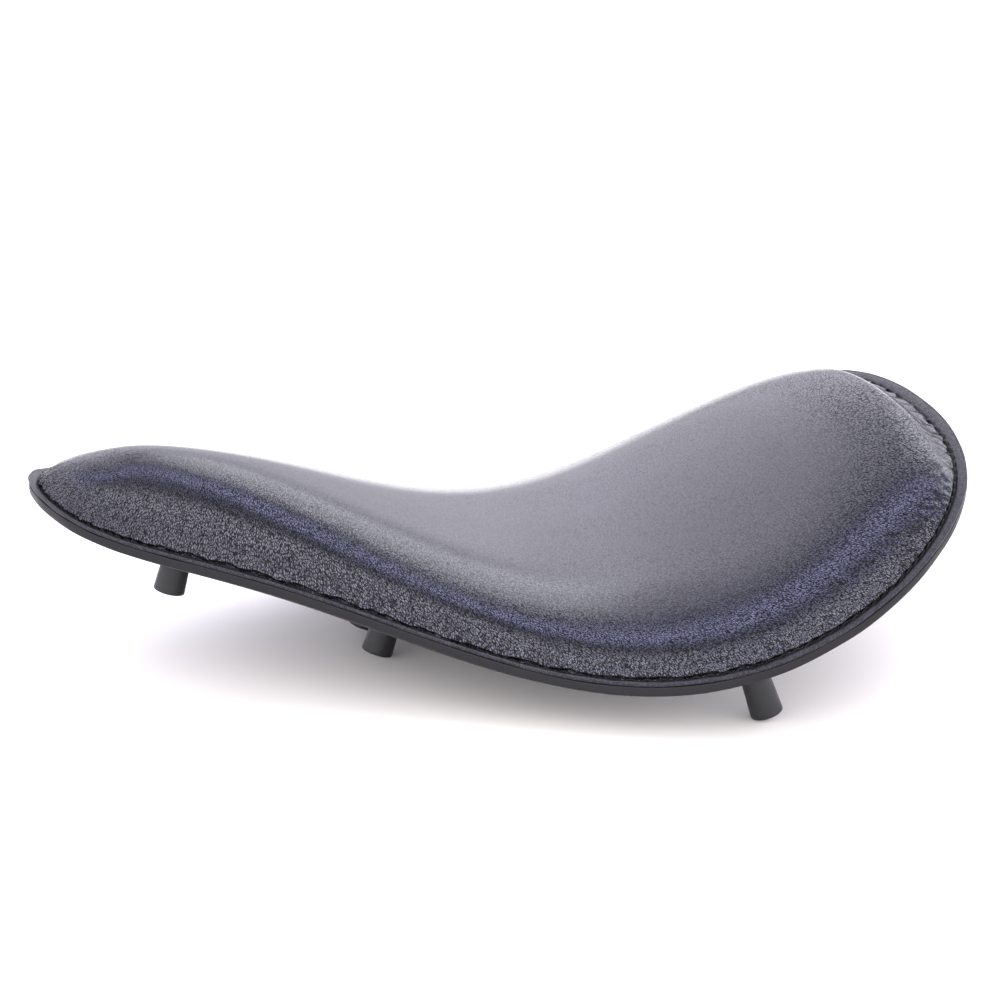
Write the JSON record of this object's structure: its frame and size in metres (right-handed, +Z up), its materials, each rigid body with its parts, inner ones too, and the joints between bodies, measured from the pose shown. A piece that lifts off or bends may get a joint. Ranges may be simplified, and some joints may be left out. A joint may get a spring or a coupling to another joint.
{
  "type": "motorcycle seat",
  "caption": "Slim solo motorcycle seat: padded black leather on a saddle-bent pan, narrow nose and wide upswept tail, on rubber bumpers.",
  "frame": {"origin": "centre of the outer box in plan, on the ground under the bumpers", "axes": "+X from the narrow nose to the wide tail, +Y to the rider's right, +Z up"},
  "size_m": [0.35, 0.26, 0.0886],
  "materials": {
    "cover_leather": "black pebble-grained leather, semi-gloss",
    "base_leather": "smooth black leather with a dressed edge",
    "foam": "moulded open-cell foam",
    "pan_steel": "black powder coat on pressed steel",
    "zinc_steel": "zinc-plated steel",
    "rubber": "black moulded rubber, satin",
    "thread": "black waxed polyester thread"
  },
  "bodies": {
    "root": {"top_cover": "cover_leather", "foam_pad": "foam", "seat_pan": "pan_steel", "base_leather": "base_leather", "needle_thread": "thread", "bobbin_thread": "thread", "bumper_nose": "rubber", "bumper_stud_nose": "zinc_steel", "bumper_nut_nose": "zinc_steel", "bumper_middle_left": "rubber", "bumper_stud_middle_left": "zinc_steel", "bumper_nut_middle_left": "zinc_steel", "bumper_middle_right": "rubber", "bumper_stud_middle_right": "zinc_steel", "bumper_nut_middle_right": "zinc_steel", "bumper_tail_left": "rubber", "bumper_stud_tail_left": "zinc_steel", "bumper_nut_tail_left": "zinc_steel", "bumper_tail_right": "rubber", "bumper_stud_tail_right": "zinc_steel", "bumper_nut_tail_right": "zinc_steel", "threaded_boss_front_left": "zinc_steel", "threaded_boss_front_right": "zinc_steel", "threaded_boss_rear_left": "zinc_steel", "threaded_boss_rear_right": "zinc_steel"}
  },
  "joints": []
}
